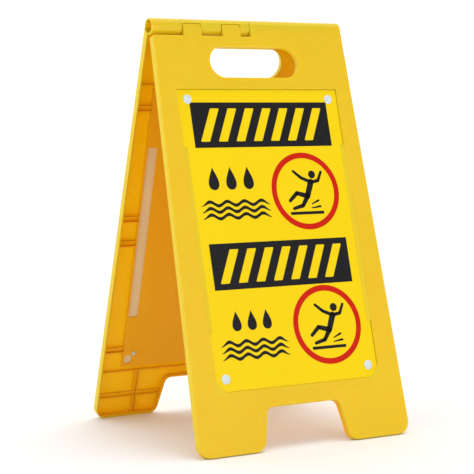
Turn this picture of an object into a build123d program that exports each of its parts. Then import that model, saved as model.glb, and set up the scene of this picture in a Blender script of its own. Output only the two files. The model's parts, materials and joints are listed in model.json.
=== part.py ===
"""Folding two-sided floor sign: two identical moulded leaves joined by a snap-fit barrel hinge, each
holding a printed insert sheet in a shallow pocket with four push rivets.

Row frame: +Z up, +X along the hinge, the front leaf on the -Y side, millimetres. The origin is on the
floor, midway between the four feet. The sign stands open, as it is used.

A leaf is drawn in its own coordinates: x across, s down the leaf from the hinge axis, and t the depth
from the outer face towards the inside. The back leaf is the front leaf turned half a turn about Z.
"""

from build123d import *
from math import cos, radians, sin, tan
import os

# Driving dimensions
OPEN_HALF_ANGLE = 15.4          # each leaf's lean from the vertical when the sign is open
LEAF_LENGTH = 635.0             # crown of the hinge barrel to the foot, 25 inches
TOP_WIDTH = 324.0               # leaf width at the hinge axis
FOOT_WIDTH = 354.0              # leaf width at the feet
BARREL_RADIUS = 12.0            # outside of the hinge barrel, and hinge axis to outer face
FOLD_GAP = 0.3                  # each leaf's rim to the middle plane when folded flat

# Leaf shell
SKIN = 3.0                      # outer face thickness
RIM_WALL = 2.5
RIM_DEPTH = BARREL_RADIUS - FOLD_GAP
FOOT_WALL = 6.0
EDGE_ROUND = 1.4
FOOT_S = LEAF_LENGTH - BARREL_RADIUS
SHOULDER_S = 16.0               # top edge of the half that carries the hinge tabs
SHOULDER_ROUND = 3.0
FOOT_ROUND = 19.0
FOOT_FLAT = 6.0                 # width of the level flat under each foot when the sign is open
ARCH_S = 562.0                  # top of the arch between the feet
ARCH_TOP_HALF = 60.0
ARCH_FOOT_HALF = 72.5
ARCH_TOP_ROUND = 11.0
ARCH_FOOT_ROUND = 17.0

# Hand hole
HANDLE_S = 55.5
HANDLE_WIDTH = 150.0
HANDLE_HEIGHT = 47.0
HANDLE_RIM_DEPTH = 7.0

# Pocket for the insert, its retaining rails and its bottom corner lips
POCKET_HALF = 136.6
POCKET_TOP_S = 96.5
POCKET_FOOT_S = 535.5
LIP_DEPTH = 1.45                # underside of the rails and corner lips
LIP_EDGE = 0.35                 # thickness left at the tip of a rail
FLOOR_DEPTH = 3.8
FLOOR_BACK = 6.3
RAIL_REACH = 5.6
RAIL_TOP_S = 183.0
RAIL_FOOT_S = 451.0
CORNER_LIP_X = 14.0
CORNER_LIP_S = 18.0
SLOT_INNER_X = 120.0            # mould shut-off slot behind each rail
SLOT_OVERRUN = (1.0, 5.5)       # how far the slot runs past the rail's top and foot
SLOT_ROUND = 3.0
CORNER_HOLE = (129.6, 527.0)    # mould shut-off hole behind each corner lip
CORNER_HOLE_RADIUS = 7.6

# Stiffening ribs inside the leaf
RIB_WALL = 1.8
RIB_DEPTH = 8.5
SIDE_RIBS_S = (120.0, 128.0, 292.0, 300.0, 331.0, 339.0, 506.0, 513.5)
CROSS_RIBS_S = (88.0, 546.0)
FOOT_RIB_DEPTH = 6.5
FOOT_RIBS_X = (107.5, 114.0)
FOOT_RIBS_S = (583.5, 590.0)

# Hinge: each leaf has a barrel on one half and two tabs with knuckles on the other
CENTRE_GAP = 0.5                # half of the gap between the two barrels
BORE_RADIUS = 9.8
KNUCKLE_RADIUS = 9.72
KNUCKLE_BORE = 7.2
TABS = ((-112.0, -83.0), (-47.0, -17.0))
WINDOW_SIDE_GAP = 1.0
TAB_TOP_ANGLE = 9.0             # the tab's top, above the level of the hinge axis
TAB_TOP_BEVEL = 0.8
NECK_DROPS = (6.0, 4.2)         # underside of the tab's neck below the axis, at its back and its knuckle
STOP_GAP_ANGLE = 5.5
SNAP_MOUTH_ANGLE = 114.0        # the window's lower lip, from the other leaf's outer normal
BARREL_END_ROUND = 0.8
GUSSET_WALL = 2.0
GUSSET_CLEARANCE = 0.4

# Insert: a white sheet with a printed film on its face
INSERT_HALF = 136.0
INSERT_TOP_S = 97.2
INSERT_FOOT_S = 535.0
INSERT_ROUND = 1.5
FILM_DEPTH = 1.5                # depth of the film's face below the leaf's outer face
FILM_THICKNESS = 0.25
SHEET_THICKNESS = 2.0

# Push rivets
RIVETS = {
    "top_left": (-120.5, 112.0),
    "top_right": (120.5, 112.0),
    "bottom_left": (-120.5, 517.0),
    "bottom_right": (120.5, 517.0),
}
RIVET_HOLE_RADIUS = 3.2
RIVET_SHANK_RADIUS = 3.05
RIVET_HEAD_RADIUS = 6.8
RIVET_HEAD_EDGE = 0.9
RIVET_HEAD_HEIGHT = 2.3
RIVET_CAP_SEAT_RADIUS = 3.7
RIVET_CAP_SEAT_HEIGHT = 1.1
RIVET_BORE_RADIUS = 1.35
RIVET_BARB_RADIUS = 3.7
RIVET_BARB_SPAN = (0.1, 0.7, 1.4)   # below the pocket's floor: start of the barb, its full width, its taper
RIVET_TAIL_RADIUS = 2.1
RIVET_TAIL_LENGTH = 8.4
RIVET_SPLIT_WIDTH = 1.1
RIVET_SPLIT_TOP = 1.0           # top of the split, below the head's seat
PIN_RADIUS = 1.25
PIN_CAP_RADIUS = 3.5
PIN_CAP_HEIGHT = 2.7
PIN_CROWN_ROUND = 0.9
PIN_LENGTH = 8.8
PIN_POINT_LENGTH = 1.2

LEAN_COS = cos(radians(OPEN_HALF_ANGLE))
LEAN_SIN = sin(radians(OPEN_HALF_ANGLE))
AXIS_HEIGHT = FOOT_S * LEAN_COS - FOLD_GAP * LEAN_SIN - FOOT_FLAT * LEAN_SIN * LEAN_COS


def half_width(s):
    """Half of the leaf's width at a distance s below the hinge axis."""
    return (TOP_WIDTH + (FOOT_WIDTH - TOP_WIDTH) * s / FOOT_S) / 2


def arch_half_width(s):
    """Half of the arch's width at a distance s below the hinge axis."""
    return ARCH_TOP_HALF + (ARCH_FOOT_HALF - ARCH_TOP_HALF) * (s - ARCH_S) / (FOOT_S - ARCH_S)


def slab(face, depth_from, depth_to):
    """A face drawn in (x, s), made solid between two depths of the leaf."""
    plane = Plane(origin=(0, depth_from - BARREL_RADIUS, 0), x_dir=(1, 0, 0), z_dir=(0, 1, 0))
    return extrude(plane * face, amount=depth_to - depth_from)


def polygon(*points):
    return make_face(Polyline(*points, close=True))


def rectangle(x_from, x_to, s_from, s_to):
    return polygon((x_from, s_from), (x_to, s_from), (x_to, s_to), (x_from, s_to))


def along_x(profile, x_from, x_to):
    """A profile drawn in (y, z) about the hinge axis, made solid between two x."""
    plane = Plane(origin=(x_from, 0, 0), x_dir=(0, 1, 0), z_dir=(1, 0, 0))
    return extrude(plane * profile, amount=x_to - x_from)


def both_sides(shape):
    return shape + mirror(shape, about=Plane.YZ)


def rounded(face, corners):
    """Rounds the corners of a face: corners is a list of ((x, s), radius)."""
    for point, radius in corners:
        corner = min(face.vertices(), key=lambda v: (Vector(*v.center()) - Vector(*point)).length)
        face = fillet(corner, radius)
    return face


def leaf_outline():
    """The leaf's outline: the +X half runs up to the barrel, the -X half ends at its shoulder."""
    left, right = -half_width(SHOULDER_S), half_width(0)
    foot = half_width(FOOT_S)
    face = polygon(
        (left, SHOULDER_S), (CENTRE_GAP, SHOULDER_S), (CENTRE_GAP, 0), (right, 0),
        (foot, FOOT_S), (ARCH_FOOT_HALF, FOOT_S), (ARCH_TOP_HALF, ARCH_S),
        (-ARCH_TOP_HALF, ARCH_S), (-ARCH_FOOT_HALF, FOOT_S), (-foot, FOOT_S),
    )
    corners = [((left, SHOULDER_S), SHOULDER_ROUND)]
    for side in (-1, 1):
        corners += [
            ((side * foot, FOOT_S), FOOT_ROUND),
            ((side * ARCH_FOOT_HALF, FOOT_S), ARCH_FOOT_ROUND),
            ((side * ARCH_TOP_HALF, ARCH_S), ARCH_TOP_ROUND),
        ]
    return rounded(face, corners)


def hand_hole(grow=0.0):
    return Pos(0, HANDLE_S) * SlotOverall(HANDLE_WIDTH + 2 * grow, HANDLE_HEIGHT + 2 * grow)


def leaf_tray():
    """The open-backed tray: outer face, rim all round, and thick feet."""
    outline = leaf_outline()
    tray = slab(outline, 0, RIM_DEPTH)
    face_edges = tray.edges().filter_by_position(Axis.Y, -BARREL_RADIUS, -BARREL_RADIUS)
    crown = face_edges.filter_by_position(Axis.Z, 0, 0)
    tray = fillet(face_edges - crown, EDGE_ROUND)
    hollow = offset(outline, amount=-RIM_WALL)
    hollow = hollow & rectangle(-FOOT_WIDTH, FOOT_WIDTH, 0, FOOT_S - FOOT_WALL)
    tray -= slab(hollow, SKIN, RIM_DEPTH)
    return tray


def rib_across(s, x_from, x_to, depth):
    return slab(rectangle(x_from, x_to, s - RIB_WALL / 2, s + RIB_WALL / 2), SKIN, depth)


def leaf_ribs():
    """Ribs between the pocket and the rim, across the leaf, and in the feet."""
    pocket_edge = POCKET_HALF + RIM_WALL / 2
    ribs = None
    for s in SIDE_RIBS_S:
        rib = both_sides(rib_across(s, pocket_edge, half_width(s) - RIM_WALL / 2, RIB_DEPTH))
        ribs = rib if ribs is None else ribs + rib
    for s in CROSS_RIBS_S:
        reach = half_width(s) - RIM_WALL / 2
        ribs += rib_across(s, -reach, reach, RIB_DEPTH)
    for s in FOOT_RIBS_S:
        reach = half_width(s) - RIM_WALL / 2
        ribs += both_sides(rib_across(s, arch_half_width(s) + RIM_WALL / 2, reach, FOOT_RIB_DEPTH))
    for x in FOOT_RIBS_X:
        upright = rectangle(x - RIB_WALL / 2, x + RIB_WALL / 2, CROSS_RIBS_S[-1], FOOT_S - FOOT_WALL / 2)
        ribs += both_sides(slab(upright, SKIN, FOOT_RIB_DEPTH))
    return ribs


def pocket_block():
    """The floor and walls of the pocket, standing out on the inside of the leaf."""
    reach = POCKET_HALF + RIM_WALL
    block = rectangle(-reach, reach, POCKET_TOP_S - RIM_WALL, POCKET_FOOT_S + RIM_WALL)
    return slab(block, SKIN / 2, FLOOR_BACK)


def pocket_cut():
    """The pocket itself, the slots and holes behind its lips, and the rivet holes."""
    cut = slab(rectangle(-POCKET_HALF, POCKET_HALF, POCKET_TOP_S, POCKET_FOOT_S), 0, FLOOR_DEPTH)
    slot = rectangle(SLOT_INNER_X, POCKET_HALF, RAIL_TOP_S + SLOT_OVERRUN[0], RAIL_FOOT_S + SLOT_OVERRUN[1])
    slot = fillet(slot.vertices(), SLOT_ROUND)
    hole = Pos(*CORNER_HOLE) * Circle(CORNER_HOLE_RADIUS)
    hole = hole & rectangle(0, POCKET_HALF, 0, POCKET_FOOT_S)
    cut += both_sides(slab(slot, FLOOR_DEPTH, FLOOR_BACK) + slab(hole, FLOOR_DEPTH, FLOOR_BACK))
    for x, s in RIVETS.values():
        cut += slab(Pos(x, s) * Circle(RIVET_HOLE_RADIUS), 0, FLOOR_BACK)
    return cut


def pocket_lips():
    """Bevelled rails down both sides, and bevelled lips over the bottom corners."""
    y_face, y_edge, y_under = (d - BARREL_RADIUS for d in (0, LIP_DEPTH - LIP_EDGE, LIP_DEPTH))
    tip = POCKET_HALF - RAIL_REACH
    section = polygon((tip, y_edge), (tip, y_under), (POCKET_HALF, y_under), (POCKET_HALF, y_face))
    rail = Pos(0, 0, -RAIL_FOOT_S) * extrude(section, amount=RAIL_FOOT_S - RAIL_TOP_S)
    corner = polygon(
        (POCKET_HALF, POCKET_FOOT_S),
        (POCKET_HALF - CORNER_LIP_X, POCKET_FOOT_S),
        (POCKET_HALF, POCKET_FOOT_S - CORNER_LIP_S),
    )
    lip = slab(corner, 0, LIP_DEPTH)
    top_edges = lip.edges().filter_by_position(Axis.Y, y_face, y_face)
    long_edge = top_edges.sort_by(SortBy.LENGTH)[-1]
    lip = chamfer(long_edge, LIP_DEPTH - LIP_EDGE)
    return both_sides(rail + lip)


def pie(angle_from, angle_to):
    """A wide sector about the hinge axis in (y, z), angles from +Y towards +Z, under half a turn."""
    reach = 3 * BARREL_RADIUS
    middle = (angle_from + angle_to) / 2
    corners = [
        (reach * cos(radians(a)), reach * sin(radians(a))) for a in (angle_from, middle, angle_to)
    ]
    return polygon((0, 0), *corners)


def barrel():
    """The +X half's barrel, with a window for each of the other leaf's tabs."""
    end = half_width(0)
    tube = along_x(Circle(BARREL_RADIUS) - Circle(BORE_RADIUS), CENTRE_GAP, end)
    end_edges = tube.edges().filter_by_position(Axis.X, end, end).sort_by(SortBy.LENGTH)[-1]
    tube = fillet(end_edges, BARREL_END_ROUND)
    other_normal = 2 * OPEN_HALF_ANGLE
    window = pie(other_normal - SNAP_MOUTH_ANGLE, other_normal + TAB_TOP_ANGLE + STOP_GAP_ANGLE)
    for x_from, x_to in TABS:
        tube -= along_x(window, -x_to - WINDOW_SIDE_GAP, -x_from + WINDOW_SIDE_GAP)
    return tube


def hinge_tab(x_from, x_to):
    """A tab from the shoulder into the other leaf's barrel, with its knuckle and two gussets."""
    face_y, back_y = -BARREL_RADIUS, SKIN - BARREL_RADIUS
    root_z = -SHOULDER_S - RIM_WALL
    neck_y = -(KNUCKLE_BORE + KNUCKLE_RADIUS) / 2
    rise = tan(radians(TAB_TOP_ANGLE))
    neck = polygon(
        (face_y, -face_y * rise - TAB_TOP_BEVEL), (face_y, root_z), (back_y, root_z),
        (back_y, -NECK_DROPS[0]), (neck_y, -NECK_DROPS[1]), (neck_y, -neck_y * rise),
        (face_y + TAB_TOP_BEVEL, -(face_y + TAB_TOP_BEVEL) * rise),
    )
    knuckle = Circle(KNUCKLE_RADIUS) - Circle(KNUCKLE_BORE)
    tab = along_x(neck + knuckle, x_from, x_to)
    clear = BARREL_RADIUS + GUSSET_CLEARANCE
    gusset = polygon((back_y, root_z), (back_y, 0), (-GUSSET_WALL, root_z)) - Circle(clear)
    for x in (x_from, x_to - GUSSET_WALL):
        tab += along_x(gusset, x, x + GUSSET_WALL)
    return tab


def leaf():
    """One whole leaf, in its own frame about the hinge axis."""
    shell = leaf_tray() + pocket_block() + leaf_ribs()
    shell += slab(hand_hole(RIM_WALL), 0, HANDLE_RIM_DEPTH)
    shell -= slab(hand_hole(), 0, HANDLE_RIM_DEPTH)
    shell -= pocket_cut()
    shell += pocket_lips()
    shell -= along_x(Circle(BORE_RADIUS), 0, FOOT_WIDTH)
    shell += barrel()
    for x_from, x_to in TABS:
        shell += hinge_tab(x_from, x_to)
    return shell


def insert_layer(depth, thickness):
    """A layer of the insert, cut to the pocket and drilled for the rivets."""
    face = rectangle(-INSERT_HALF, INSERT_HALF, INSERT_TOP_S, INSERT_FOOT_S)
    face = fillet(face.vertices(), INSERT_ROUND)
    for x, s in RIVETS.values():
        face -= Pos(x, s) * Circle(RIVET_HOLE_RADIUS)
    return slab(face, depth, depth + thickness)


def turned(points):
    """A profile of (radius, height) points turned about Z."""
    return revolve(Plane.XZ * polygon(*points), axis=Axis.Z)


def rivet_body():
    """Head, split shank and barbs of a push rivet, its seat at z = 0 and its head towards +Z."""
    barb_start, barb_full, barb_taper = (FILM_DEPTH - FLOOR_BACK - drop for drop in RIVET_BARB_SPAN)
    body = turned([
        (0, RIVET_HEAD_HEIGHT), (0, -RIVET_TAIL_LENGTH), (RIVET_TAIL_RADIUS, -RIVET_TAIL_LENGTH),
        (RIVET_BARB_RADIUS, barb_taper), (RIVET_BARB_RADIUS, barb_full),
        (RIVET_SHANK_RADIUS, barb_start), (RIVET_SHANK_RADIUS, 0), (RIVET_HEAD_RADIUS, 0),
        (RIVET_HEAD_RADIUS, RIVET_HEAD_EDGE), (RIVET_CAP_SEAT_RADIUS, RIVET_HEAD_HEIGHT),
    ])
    rim = body.edges().filter_by(GeomType.CIRCLE).filter_by_position(Axis.Z, RIVET_HEAD_EDGE, RIVET_HEAD_EDGE)
    body = fillet(rim, RIVET_HEAD_EDGE / 2)
    seat_height = RIVET_HEAD_HEIGHT - RIVET_CAP_SEAT_HEIGHT
    body -= Pos(0, 0, RIVET_CAP_SEAT_HEIGHT + seat_height) * Cylinder(RIVET_CAP_SEAT_RADIUS, 2 * seat_height)
    body -= Cylinder(RIVET_BORE_RADIUS, 4 * RIVET_TAIL_LENGTH)
    reach = 2 * RIVET_TAIL_LENGTH
    for angle in (45, 135):
        split = Box(reach, RIVET_SPLIT_WIDTH, reach)
        body -= Pos(0, 0, -RIVET_SPLIT_TOP - reach / 2) * Rot(0, 0, angle) * split
    return body


def rivet_pin():
    """The plunger pin pressed into a rivet body, with its domed cap."""
    pin = turned([
        (0, PIN_CAP_HEIGHT), (0, -PIN_LENGTH), (PIN_RADIUS / 2, -PIN_LENGTH),
        (PIN_RADIUS, -PIN_LENGTH + PIN_POINT_LENGTH), (PIN_RADIUS, RIVET_CAP_SEAT_HEIGHT),
        (PIN_CAP_RADIUS, RIVET_CAP_SEAT_HEIGHT), (PIN_CAP_RADIUS, PIN_CAP_HEIGHT),
    ])
    crown = pin.edges().filter_by(GeomType.CIRCLE).sort_by(Axis.Z)[-1]
    return fillet(crown, PIN_CROWN_ROUND)


def at_rivet(shape, place):
    """Puts a rivet's piece on the insert's face, its head outwards."""
    x, s = place
    plane = Plane(origin=(x, FILM_DEPTH - BARREL_RADIUS, -s), x_dir=(1, 0, 0), z_dir=(0, -1, 0))
    return plane * shape


def front(shape):
    """Carries a piece from the leaf's own frame to the open front leaf."""
    return Pos(0, 0, AXIS_HEIGHT) * Rot(-OPEN_HALF_ANGLE, 0, 0) * shape


def back(shape):
    """Carries a piece from the leaf's own frame to the open back leaf."""
    return Rot(0, 0, 180) * front(shape)


def level_feet(shape):
    """Cuts a standing leaf level with the floor."""
    below = Pos(0, 0, -LEAF_LENGTH / 2) * Box(2 * LEAF_LENGTH, 2 * LEAF_LENGTH, LEAF_LENGTH)
    return shape - below


def write(name, shape):
    export_step(shape, f"parts/{name}.step")


def main():
    os.makedirs("parts", exist_ok=True)
    leaf_shape = leaf()
    sheet = insert_layer(FILM_DEPTH + FILM_THICKNESS, SHEET_THICKNESS)
    film = insert_layer(FILM_DEPTH, FILM_THICKNESS)
    body, pin = rivet_body(), rivet_pin()
    for side, place in (("front", front), ("back", back)):
        write(f"{side}_leaf", level_feet(place(leaf_shape)))
        write(f"{side}_insert_sheet", place(sheet))
        write(f"{side}_printed_film", place(film))
        for corner, spot in RIVETS.items():
            write(f"{side}_rivet_body_{corner}", place(at_rivet(body, spot)))
            write(f"{side}_rivet_pin_{corner}", place(at_rivet(pin, spot)))


main()
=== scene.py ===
"""Studio picture of a folding floor sign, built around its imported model.

Everything is in metres in the model's own frame: +Z up, the floor at z = 0, +X along the hinge. The
printed graphics are drawn in millimetres on the leaf: x across, and s down the leaf from the hinge axis.
"""

import json
import math

import bmesh
import bpy
from mathutils import Matrix, Vector


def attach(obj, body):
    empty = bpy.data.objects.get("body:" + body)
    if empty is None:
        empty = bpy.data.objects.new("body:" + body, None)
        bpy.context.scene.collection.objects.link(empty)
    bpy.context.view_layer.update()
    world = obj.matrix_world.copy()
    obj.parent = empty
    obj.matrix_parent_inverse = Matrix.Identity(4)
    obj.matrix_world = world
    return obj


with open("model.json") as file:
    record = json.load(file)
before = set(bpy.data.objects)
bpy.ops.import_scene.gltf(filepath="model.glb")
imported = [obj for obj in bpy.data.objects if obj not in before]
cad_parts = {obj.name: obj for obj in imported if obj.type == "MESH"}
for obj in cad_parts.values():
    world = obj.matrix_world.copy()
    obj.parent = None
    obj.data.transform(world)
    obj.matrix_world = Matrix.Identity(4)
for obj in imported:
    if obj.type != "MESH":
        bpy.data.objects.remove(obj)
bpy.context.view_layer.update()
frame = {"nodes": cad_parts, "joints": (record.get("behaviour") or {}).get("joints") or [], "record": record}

MM = 0.001
FOLD = frame["joints"][0]
HINGE = Vector(FOLD["pos_m"])
LEAN = -math.radians(FOLD["range_deg"][0]) / 2
SIDES = ("front", "back")

# The camera: its place from the hinge in metres, its turns in degrees, and its lens in millimetres
CAMERA_PLACE = (-1.1705, -1.9955, -0.1263)
CAMERA_YAW = 30.05
CAMERA_DOWN = 4.57
CAMERA_ROLL = -0.273
CAMERA_LENS = 116.93

# Boxes of the leaf: across it, out from the hinge's plane, and down it from the hinge
SKIN = ((-1.0, 180.0), (8.8, 12.4), (-13.0, 630.0))             # the single wall that light glows through
LIPS = ((122.0, 136.7), (10.4, 12.4), (182.8, 535.6))           # they hold the insert's edges and corners
# the box below is where the ribs and pocket are painted a deeper orange, standing in for light bounced from
# wall to wall
PAINTED_BOUNCE_BOX = ((-20.0, 159.3), (-3.0, 8.8), (85.0, 618.0))           # ribs and pocket, the taper taken off across
TAPER = 0.024                                                    # half width gained for each mm down

# Printed graphics, in millimetres on the leaf
INK_THICKNESS = 0.06
BAND_LEFT = -118.0
BAND_RIGHT = 115.5
BAND_ROUND = 0.6
STRIPE_ROUND = 1.2
BANDS = {"upper": (116.5, 184.0), "lower": (324.5, 391.5)}
STRIPE_MARGIN = 10.5
STRIPE_INSET = 9.0
STRIPES = 7
STRIPE_SLANT = 22.0
RING_RADIUS = 58.3
RING_STROKE = 8.6
RINGS = {"upper": (57.0, 252.0), "lower": (60.5, 452.0)}
RING_STEPS = 96
DROPS = {"upper": (-67.0, 229.5), "lower": (-65.5, 436.5)}
DROP_SIZE = {"upper": (23.0, 34.0), "lower": (20.0, 29.0)}
DROP_PITCH = 1.25       # in drop widths
DROP_PINCH = 1.6        # more gives a thinner tip
DROP_SWELL = 1.08       # makes up at the belly for the width that the pinch takes
WAVES = {"upper": (-64.0, 276.0, 114.0), "lower": (-65.0, 478.0, 111.0)}
WAVE_PITCH = 9.5
WAVE_STROKE = 5.0
WAVE_SWELL = 3.0
WAVE_CRESTS = 4
WAVE_TIP = 0.12         # in strokes
WAVE_TAPER = 9.0        # strokes gained over the wave's length


# ---------------------------------------------------------------- camera

def add_camera():
    """The camera stands left of the sign, a little below the hinge, and looks slightly down."""
    yaw, down, roll = (math.radians(turn) for turn in (CAMERA_YAW, CAMERA_DOWN, CAMERA_ROLL))
    forward = Vector((math.sin(yaw) * math.cos(down), math.cos(yaw) * math.cos(down), -math.sin(down)))
    level_right = Vector((math.cos(yaw), -math.sin(yaw), 0))
    level_up = level_right.cross(forward)
    right = level_right * math.cos(roll) + level_up * math.sin(roll)
    up = level_up * math.cos(roll) - level_right * math.sin(roll)
    data = bpy.data.cameras.new("camera")
    data.lens = CAMERA_LENS
    data.dof.use_dof = False
    camera = bpy.data.objects.new("camera", data)
    turn = Matrix((right, up, -forward)).transposed().to_4x4()
    camera.matrix_world = Matrix.Translation(HINGE + Vector(CAMERA_PLACE)) @ turn
    bpy.context.scene.collection.objects.link(camera)
    bpy.context.scene.camera = camera


add_camera()


# ---------------------------------------------------------------- materials

class Nodes:
    """A material's node tree, with short calls for the nodes used here."""

    def __init__(self, name):
        self.material = bpy.data.materials.new(name)
        self.material.use_nodes = True
        self.tree = self.material.node_tree
        self.shader = self.tree.nodes["Principled BSDF"]
        self.place = self.add("ShaderNodeTexCoord").outputs["Object"]

    def add(self, kind, **values):
        """A new node, with its options set."""
        node = self.tree.nodes.new(kind)
        for key, value in values.items():
            setattr(node, key, value)
        return node

    def join(self, output, socket):
        self.tree.links.new(output, socket)

    def noise(self, scale, detail, roughness=0.5):
        """Cloudy noise from 0 to 1, with about scale clouds in each metre."""
        node = self.add("ShaderNodeTexNoise")
        node.inputs["Scale"].default_value = scale
        node.inputs["Detail"].default_value = detail
        node.inputs["Roughness"].default_value = roughness
        self.join(self.place, node.inputs["Vector"])
        return node.outputs["Fac"]

    def math(self, operation, *values):
        """A Math node on outputs and numbers."""
        node = self.add("ShaderNodeMath", operation=operation)
        for value, socket in zip(values, node.inputs):
            if isinstance(value, bpy.types.NodeSocket):
                self.join(value, socket)
            else:
                socket.default_value = value
        return node.outputs["Value"]

    def within(self, value, low, high):
        """1 where value is between low and high, 0 elsewhere."""
        return self.math("COMPARE", value, (low + high) / 2, (high - low) / 2)

    def ramp(self, value, low, high, to_low, to_high):
        """Takes low to to_low and high to to_high, straight between them and level beyond."""
        node = self.add("ShaderNodeMapRange")
        node.inputs["From Min"].default_value = low
        node.inputs["From Max"].default_value = high
        node.inputs["To Min"].default_value = to_low
        node.inputs["To Max"].default_value = to_high
        self.join(value, node.inputs["Value"])
        return node.outputs["Result"]

    def mix(self, factor, first, second):
        """Mixes two colours, each a colour or another node's output."""
        node = self.add("ShaderNodeMix", data_type="RGBA")
        self.join(factor, node.inputs["Factor"])
        for name, colour in (("A", first), ("B", second)):
            socket = [i for i in node.inputs if i.name == name and i.type == "RGBA"][0]
            if isinstance(colour, tuple):
                socket.default_value = (*colour, 1.0)
            else:
                self.join(colour, socket)
        return [o for o in node.outputs if o.type == "RGBA"][0]

    def bump(self, height, distance, strength, under=None):
        """A surface raised by distance, in metres, where height is 1, over another bump if one is given."""
        node = self.add("ShaderNodeBump")
        node.inputs["Strength"].default_value = strength
        node.inputs["Distance"].default_value = distance
        self.join(height, node.inputs["Height"])
        if under is not None:
            self.join(under, node.inputs["Normal"])
        return node.outputs["Normal"]

    def edges(self, radius):
        """1 on sharp edges, 0 on flats."""
        bevel = self.add("ShaderNodeBevel", samples=4)
        bevel.inputs["Radius"].default_value = radius
        flat = self.add("ShaderNodeNewGeometry").outputs["Normal"]
        dot = self.add("ShaderNodeVectorMath", operation="DOT_PRODUCT")
        self.join(bevel.outputs["Normal"], dot.inputs[0])
        self.join(flat, dot.inputs[1])
        return self.ramp(dot.outputs["Value"], 1.0, 0.8, 0.0, 1.0)

    def set(self, **values):
        """Sets or joins the shader's sockets, named with _ for each space."""
        for key, value in values.items():
            socket = self.shader.inputs[key.replace("_", " ")]
            if isinstance(value, bpy.types.NodeSocket):
                self.join(value, socket)
            else:
                socket.default_value = value


class LeafPlace:
    """Where a shaded point lies on either leaf: across it, out from the hinge's plane, and down it."""

    def __init__(self, m):
        self.m = m
        axes = m.add("ShaderNodeSeparateXYZ")
        m.join(m.place, axes.inputs[0])
        above = m.math("SUBTRACT", axes.outputs["Z"], HINGE.z)
        self.side = m.math("SIGN", axes.outputs["Y"])
        self.across = m.math("ABSOLUTE", axes.outputs["X"])
        self.outward = self.out_of(axes.outputs["Y"], above)
        self.down = m.math("MULTIPLY", above, -1 / math.cos(LEAN))
        self.tapered = m.math("MULTIPLY_ADD", self.down, -TAPER, self.across)
        turned = m.add("ShaderNodeSeparateXYZ")
        m.join(m.add("ShaderNodeTexCoord").outputs["Normal"], turned.inputs[0])
        self.facing_out = self.out_of(turned.outputs["Y"], turned.outputs["Z"])

    def out_of(self, y, z):
        """The part of a direction that points out of the leaf's face."""
        level = self.m.math("MULTIPLY", self.m.math("MULTIPLY", y, self.side), math.cos(LEAN))
        return self.m.math("MULTIPLY_ADD", z, math.sin(LEAN), level)

    def within(self, box, across=None):
        """1 inside a box of the leaf, 0 elsewhere."""
        found = [self.m.within(value, *(MM * edge for edge in span))
                 for value, span in zip((across or self.across, self.outward, self.down), box)]
        return self.m.math("MULTIPLY", self.m.math("MULTIPLY", found[0], found[1]), found[2])

    def flat(self):
        """1 on faces along the leaf's skin, 0 on ribs, rims and edges."""
        return self.m.ramp(self.m.math("ABSOLUTE", self.facing_out), 0.80, 0.95, 0.0, 1.0)

    def inner(self):
        """1 on faces that look inwards, 0 on faces that look outwards or sideways."""
        return self.m.ramp(self.facing_out, -0.9, -0.5, 1.0, 0.0)


def leaf_plastic():
    """Moulded polypropylene: fine spark-eroded grain, faint flow marks, lighter scuffed edges.

    Light glows through its skin. Inside, the light that goes from wall to wall is painted into the colour:
    the skin's inward faces are painted a brighter orange, and the ribs and pocket a deeper orange.
    """
    m = Nodes("leaf_plastic")
    cloud = m.noise(6.0, 4.0)
    base = m.mix(m.ramp(cloud, 0.35, 0.65, 0.0, 1.0), (0.80, 0.565, 0.006), (0.82, 0.585, 0.008))
    speck = m.ramp(m.noise(420.0, 2.0), 0.62, 0.72, 0.0, 0.25)
    base = m.mix(speck, base, (0.78, 0.48, 0.02))
    edge = m.edges(0.0009)
    scuff = m.math("MULTIPLY", edge, m.ramp(m.noise(60.0, 4.0), 0.4, 0.7, 0.1, 0.55))
    base = m.mix(scuff, base, (0.88, 0.66, 0.10))
    waves = m.bump(m.noise(14.0, 2.0), 0.0006, 0.25)
    grain = m.bump(m.noise(1900.0, 2.0, 0.6), 0.00012, 0.35, waves)
    rough = m.ramp(m.noise(35.0, 5.0), 0.3, 0.7, 0.40, 0.50)
    place = LeafPlace(m)
    skin = place.within(SKIN)
    # painted light: the skin's inward faces are painted a brighter orange (0.97, 0.66, 0.001), standing in
    # for light glowing through the wall and bounced between the walls
    base = m.mix(m.math("MULTIPLY", skin, place.inner()), base, (0.97, 0.66, 0.001))
    # painted light: the ribs and pocket are painted a deeper orange (0.92, 0.46, 0.001), standing in for
    # light bounced from wall to wall
    base = m.mix(place.within(PAINTED_BOUNCE_BOX, place.tapered), base, (0.92, 0.46, 0.001))
    glow = m.math("MULTIPLY", m.math("SUBTRACT", skin, place.within(LIPS)), place.flat())
    m.set(Base_Color=base, Roughness=rough, Normal=grain, IOR=1.49, Specular_IOR_Level=0.35)
    m.set(Subsurface_Weight=glow, Subsurface_Radius=(1.0, 0.62, 0.04), Subsurface_Scale=0.005)
    return m.material


def film_plastic():
    """Printed yellow film: satin face over a slightly uneven adhesive."""
    m = Nodes("printed_film")
    base = m.mix(m.ramp(m.noise(5.0, 3.0), 0.35, 0.65, 0.0, 1.0), (0.93, 0.655, 0.001), (0.95, 0.675, 0.001))
    uneven = m.bump(m.noise(22.0, 2.0), 0.0004, 0.15)
    fine = m.bump(m.noise(900.0, 2.0), 0.00004, 0.25, uneven)
    rough = m.ramp(m.noise(70.0, 4.0), 0.3, 0.7, 0.30, 0.38)
    m.set(Base_Color=base, Roughness=rough, Normal=fine, IOR=1.5, Specular_IOR_Level=0.18)
    return m.material


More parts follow.
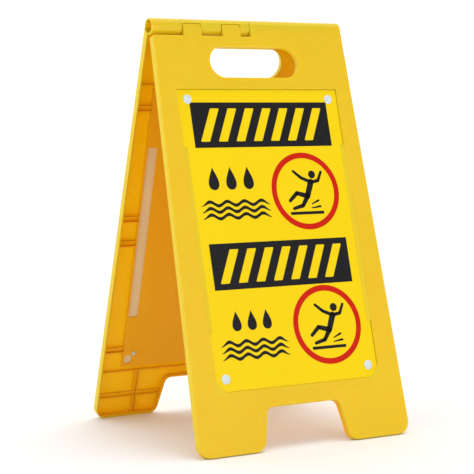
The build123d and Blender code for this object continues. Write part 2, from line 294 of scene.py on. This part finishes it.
def ink(name, dark, light, roughness):
    """Screen-printed ink, with a faint mottle from the squeegee."""
    m = Nodes(name)
    base = m.mix(m.ramp(m.noise(160.0, 4.0), 0.35, 0.65, 0.0, 1.0), dark, light)
    fine = m.bump(m.noise(1100.0, 2.0), 0.00003, 0.3)
    rough = m.ramp(m.noise(90.0, 3.0), 0.3, 0.7, roughness - 0.04, roughness + 0.04)
    m.set(Base_Color=base, Roughness=rough, Normal=fine, IOR=1.5, Specular_IOR_Level=0.15)
    return m.material


def board_plastic():
    """White fluted plastic board, painted a warm cream that stands in for the shaded, orange-lit place it
    sits in: the flutes read through its skin as faint lines down the leaf.
    """
    m = Nodes("insert_board")
    # painted shade: the white board's colour is given as a warm cream, darker and warmer than white, for the
    # shade and orange bounce light around it
    base = m.mix(m.ramp(m.noise(9.0, 3.0), 0.35, 0.65, 0.0, 1.0), (0.83, 0.68, 0.42), (0.87, 0.72, 0.47))
    flutes = m.add("ShaderNodeTexWave", wave_type="BANDS", bands_direction="X")
    flutes.inputs["Scale"].default_value = 75.0
    flutes.inputs["Distortion"].default_value = 0.0
    m.join(m.place, flutes.inputs["Vector"])
    normal = m.bump(flutes.outputs["Fac"], 0.0003, 0.4)
    rough = m.ramp(m.noise(50.0, 3.0), 0.3, 0.7, 0.42, 0.5)
    m.set(Base_Color=base, Roughness=rough, Normal=normal)
    return m.material


def nylon(name, tint):
    """White moulded nylon, slightly see-through in its skin."""
    m = Nodes(name)
    paler = tuple(1.06 * part for part in tint)
    base = m.mix(m.ramp(m.noise(240.0, 3.0), 0.35, 0.65, 0.0, 1.0), tint, paler)
    fine = m.bump(m.noise(1500.0, 2.0), 0.00004, 0.3)
    rough = m.ramp(m.noise(300.0, 3.0), 0.3, 0.7, 0.28, 0.36)
    m.set(Base_Color=base, Roughness=rough, Normal=fine)
    m.set(Subsurface_Weight=0.15, Subsurface_Radius=(0.001, 0.001, 0.001), Subsurface_Scale=1.0)
    return m.material


MATERIALS = {
    "leaf_plastic": leaf_plastic(),
    "insert_board": board_plastic(),
    "printed_film": film_plastic(),
    "rivet_nylon": nylon("rivet_nylon", (0.68, 0.75, 0.79)),
    "pin_nylon": nylon("pin_nylon", (0.70, 0.77, 0.81)),
    "black_ink": ink("black_ink", (0.009, 0.008, 0.010), (0.013, 0.012, 0.014), 0.42),
    "red_ink": ink("red_ink", (0.59, 0.010, 0.001), (0.63, 0.014, 0.001), 0.40),
}

for part in frame["record"]["subparts"]:
    mesh = frame["nodes"][part["node"]].data
    mesh.materials.clear()
    mesh.materials.append(MATERIALS[part["material_slot"]])


# ---------------------------------------------------------------- printed graphics

def leaf_matrix(side):
    """From (x across, y up the leaf, z out of the film's face), in metres from the hinge axis."""
    across = Vector((1, 0, 0))
    up = Vector((0, math.sin(LEAN), math.cos(LEAN)))
    out = across.cross(up)
    place = Matrix((across, up, out)).transposed().to_4x4()
    film = frame["nodes"]["front_printed_film"].data
    face = max((v.co - HINGE).dot(out) for v in film.vertices)
    place = Matrix.Translation(HINGE + out * face) @ place
    if side == "back":
        place = Matrix.Rotation(math.pi, 4, "Z") @ place
    return place


def at(x, s):
    """A point of the film's face, in leaf_matrix's metres."""
    return Vector((x * MM, -s * MM, 0))


def rounded(points, radius, steps=5):
    """Rounds the corners of a closed outline of (x, s) points with arcs."""
    outline = []
    count = len(points)
    for i in range(count):
        corner = Vector(points[i])
        before = (Vector(points[i - 1]) - corner).normalized()
        after = (Vector(points[(i + 1) % count]) - corner).normalized()
        half = before.angle(after) / 2
        back = radius / math.tan(half)
        middle = corner + (before + after).normalized() * (radius / math.sin(half))
        start = corner + before * back - middle
        end = corner + after * back - middle
        for k in range(steps + 1):
            spoke = start.lerp(end, k / steps).normalized() * radius
            outline.append(tuple(middle + spoke))
    return outline


def rectangle(x_from, x_to, s_from, s_to, radius):
    """An outline with rounded corners."""
    return rounded([(x_from, s_from), (x_to, s_from), (x_to, s_to), (x_from, s_to)], radius)


def capsule(start, end, r_start, r_end, steps=12):
    """A tapered limb with round ends."""
    start, end = Vector(start), Vector(end)
    heading = math.atan2(end.y - start.y, end.x - start.x)
    outline = []
    for centre, radius, turn in ((end, r_end, -0.5), (start, r_start, 0.5)):
        for k in range(steps + 1):
            angle = heading + math.pi * (turn + k / steps)
            outline.append(tuple(centre + radius * Vector((math.cos(angle), math.sin(angle)))))
    return outline


def disc(centre, radius, steps=48):
    """A round outline."""
    turns = [2 * math.pi * k / steps for k in range(steps)]
    return [(centre[0] + radius * math.cos(a), centre[1] + radius * math.sin(a)) for a in turns]


def drop(centre, width, height, steps=20):
    """A water drop, point upwards."""
    outline = []
    for k in range(2 * steps):
        angle = math.pi * k / steps
        half = width / 2 * DROP_SWELL * math.sin(angle) * math.sin(angle / 2) ** DROP_PINCH
        outline.append((centre[0] + half, centre[1] - height / 2 * math.cos(angle)))
    return outline


def wave(left, s, length, steps=72):
    """A wavy line of water, pointed at both ends."""
    upper, lower = [], []
    for k in range(steps + 1):
        u = k / steps
        middle = s + WAVE_SWELL * math.cos(2 * math.pi * WAVE_CRESTS * u)
        half = WAVE_STROKE / 2 * min(1.0, WAVE_TIP + WAVE_TAPER * min(u, 1 - u))
        upper.append((left + length * u, middle - half))
        lower.append((left + length * u, middle + half))
    return upper + lower[::-1]


def add_plate(mesh, outline, low, high, hole=None):
    """Adds a flat closed plate between two heights, filled, or open in the middle round a hole."""
    loops = []
    for height in (low, high):
        ring = [mesh.verts.new(at(*p) + Vector((0, 0, height * MM))) for p in outline]
        inner = [mesh.verts.new(at(*p) + Vector((0, 0, height * MM))) for p in hole] if hole else None
        loops.append((ring, inner))
    (ring_low, hole_low), (ring_high, hole_high) = loops
    count = len(outline)
    for i in range(count):
        j = (i + 1) % count
        mesh.faces.new((ring_low[i], ring_low[j], ring_high[j], ring_high[i]))
        if hole:
            mesh.faces.new((hole_low[j], hole_low[i], hole_high[i], hole_high[j]))
            mesh.faces.new((ring_high[i], ring_high[j], hole_high[j], hole_high[i]))
            mesh.faces.new((ring_low[j], ring_low[i], hole_low[i], hole_low[j]))
    if not hole:
        mesh.faces.new(ring_high)
        mesh.faces.new(ring_low[::-1])


def print_on(side, name, outlines, material, layer=0, hole=None):
    """Prints outlines as one thin piece on a side's film, sunk half a thickness into what is under it.

    Layer 0 lies on the film, and layer 1 on the ink of layer 0.
    """
    low = INK_THICKNESS * (layer - 0.5)
    mesh = bmesh.new()
    for outline in outlines:
        add_plate(mesh, outline, low, INK_THICKNESS * (layer + 1), hole)
    bmesh.ops.recalc_face_normals(mesh, faces=mesh.faces)
    data = bpy.data.meshes.new(f"{side}_{name}")
    mesh.to_mesh(data)
    mesh.free()
    data.transform(leaf_matrix(side))
    data.materials.append(MATERIALS[material])
    piece = bpy.data.objects.new(data.name, data)
    bpy.context.scene.collection.objects.link(piece)
    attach(piece, side)


def hazard_stripes(s_from, s_to):
    """Slanted stripes, evenly spaced between the band's margins."""
    top, foot = s_from + STRIPE_INSET, s_to - STRIPE_INSET
    first, last = BAND_LEFT + STRIPE_MARGIN, BAND_RIGHT - STRIPE_MARGIN
    pitch = (last - first - STRIPE_SLANT) / (STRIPES - 0.5)
    for i in range(STRIPES):
        x = first + i * pitch
        x_top = x + STRIPE_SLANT
        slab = [(x_top, top), (x_top + pitch / 2, top), (x + pitch / 2, foot), (x, foot)]
        yield rounded(slab, STRIPE_ROUND)


def slipping_figure(centre):
    """A plain figure losing its footing, with slide marks and the floor under it."""
    def p(x, up):
        """A point of the figure, in millimetres right of the ring's centre and above it."""
        return centre[0] + x, centre[1] - up

    hip, neck = p(2, -8), p(11, 13)
    yield capsule(hip, neck, 4.6, 5.0)
    yield disc(p(14.5, 24.5), 6.0)
    yield capsule(neck, p(-5, 20), 2.7, 2.5)
    yield capsule(p(-5, 20), p(-17, 30), 2.5, 2.1)
    yield capsule(neck, p(24, 15), 2.7, 2.5)
    yield capsule(p(24, 15), p(31, 28), 2.5, 2.1)
    yield capsule(hip, p(-16, -3), 4.0, 3.2)
    yield capsule(p(-16, -3), p(-29, -14), 3.2, 2.6)
    yield capsule(hip, p(-8, -22), 4.0, 3.0)
    yield capsule(p(-8, -22), p(-24, -26), 3.0, 2.4)
    yield capsule(p(8, -20), p(20, -15), 0.8, 1.7)
    yield capsule(p(7, -26), p(22, -24), 0.8, 1.7)
    (x_from, s_from), (x_to, s_to) = p(-31, -31), p(27, -35.5)
    yield rectangle(x_from, x_to, s_from, s_to, 0.8)


def print_graphics(side):
    """Two header bands, and under each a ring with its figure, and drops over waves."""
    for place, (s_from, s_to) in BANDS.items():
        band = rectangle(BAND_LEFT, BAND_RIGHT, s_from, s_to, BAND_ROUND)
        print_on(side, f"{place}_band", [band], "black_ink")
        print_on(side, f"{place}_band_stripes", hazard_stripes(s_from, s_to), "printed_film", layer=1)
    for place, centre in RINGS.items():
        ring = disc(centre, RING_RADIUS, RING_STEPS)
        hole = disc(centre, RING_RADIUS - RING_STROKE, RING_STEPS)
        print_on(side, f"{place}_ring", [ring], "red_ink", hole=hole)
        print_on(side, f"{place}_slip_figure", slipping_figure(centre), "black_ink")
        x, s = DROPS[place]
        width, height = DROP_SIZE[place]
        drops = [drop((x + i * width * DROP_PITCH, s), width, height) for i in (-1, 0, 1)]
        print_on(side, f"{place}_water_drops", drops, "black_ink")
        x, s, length = WAVES[place]
        waves = [wave(x - length / 2, s + i * WAVE_PITCH, length) for i in (-1, 0, 1)]
        print_on(side, f"{place}_water_waves", waves, "black_ink")


for side in SIDES:
    print_graphics(side)


# ---------------------------------------------------------------- studio

FLOOR_SIZE = 40.0
FRONT_WALL = 0.57       # brightness of the room in front of the sign
BACK_WALL = 1.16        # and behind it
WALL_FADE = 0.5         # one fades into the other between minus and plus this part of the Y direction


def add_floor():
    """A wide sheet of matt white paper."""
    bpy.ops.mesh.primitive_plane_add(size=FLOOR_SIZE)
    floor = bpy.context.object
    floor.name = "floor"
    m = Nodes("floor_paper")
    base = m.mix(m.ramp(m.noise(3.0, 3.0), 0.35, 0.65, 0.0, 1.0), (0.89, 0.885, 0.88), (0.90, 0.895, 0.89))
    m.set(Base_Color=base, Roughness=0.9, Normal=m.bump(m.noise(400.0, 2.0), 0.0001, 0.2))
    floor.data.materials.append(m.material)


def add_sun(name, toward, width, power):
    """A far soft light: toward points at it, and width is how many degrees of the sky it fills."""
    data = bpy.data.lights.new(name, "SUN")
    data.angle = math.radians(width)
    data.energy = power
    light = bpy.data.objects.new(name, data)
    light.rotation_euler = Vector(toward).to_track_quat("Z", "Y").to_euler()
    bpy.context.scene.collection.objects.link(light)


def add_light(name, place, target, size, power):
    """A round soft box aimed at target."""
    data = bpy.data.lights.new(name, "AREA")
    data.shape = "DISK"
    data.size = size
    data.energy = power
    light = bpy.data.objects.new(name, data)
    light.location = place
    light.rotation_euler = (Vector(target) - Vector(place)).to_track_quat("-Z", "Y").to_euler()
    bpy.context.scene.collection.objects.link(light)


def add_world():
    """A white room, brighter behind the sign than in front of it. The camera sees at least plain white."""
    world = bpy.data.worlds.new("studio")
    world.use_nodes = True
    tree = world.node_tree
    background = tree.nodes["Background"]
    background.inputs["Color"].default_value = (1, 1, 1, 1)
    axes = tree.nodes.new("ShaderNodeSeparateXYZ")
    fade = tree.nodes.new("ShaderNodeMapRange")
    fade.inputs["From Min"].default_value = -WALL_FADE
    fade.inputs["From Max"].default_value = WALL_FADE
    fade.inputs["To Min"].default_value = FRONT_WALL
    fade.inputs["To Max"].default_value = BACK_WALL
    tree.links.new(tree.nodes.new("ShaderNodeTexCoord").outputs["Generated"], axes.inputs["Vector"])
    tree.links.new(axes.outputs["Y"], fade.inputs["Value"])
    seen = tree.nodes.new("ShaderNodeMath")
    seen.operation = "MAXIMUM"
    tree.links.new(fade.outputs["Result"], seen.inputs[0])
    tree.links.new(tree.nodes.new("ShaderNodeLightPath").outputs["Is Camera Ray"], seen.inputs[1])
    tree.links.new(seen.outputs["Value"], background.inputs["Strength"])
    bpy.context.scene.world = world


add_floor()
add_sun("key", (0.40, -0.1, 3.0), 40.0, 0.95)
add_light("left", (-2.2, -0.3, 0.5), (0, 0, 0.3), 1.8, 7.0)
add_light("low_front", (0.3, -2.2, 0.6), (0.0, -0.3, 0.0), 0.8, 7.0)
add_world()
bpy.context.scene.view_settings.view_transform = "Standard"
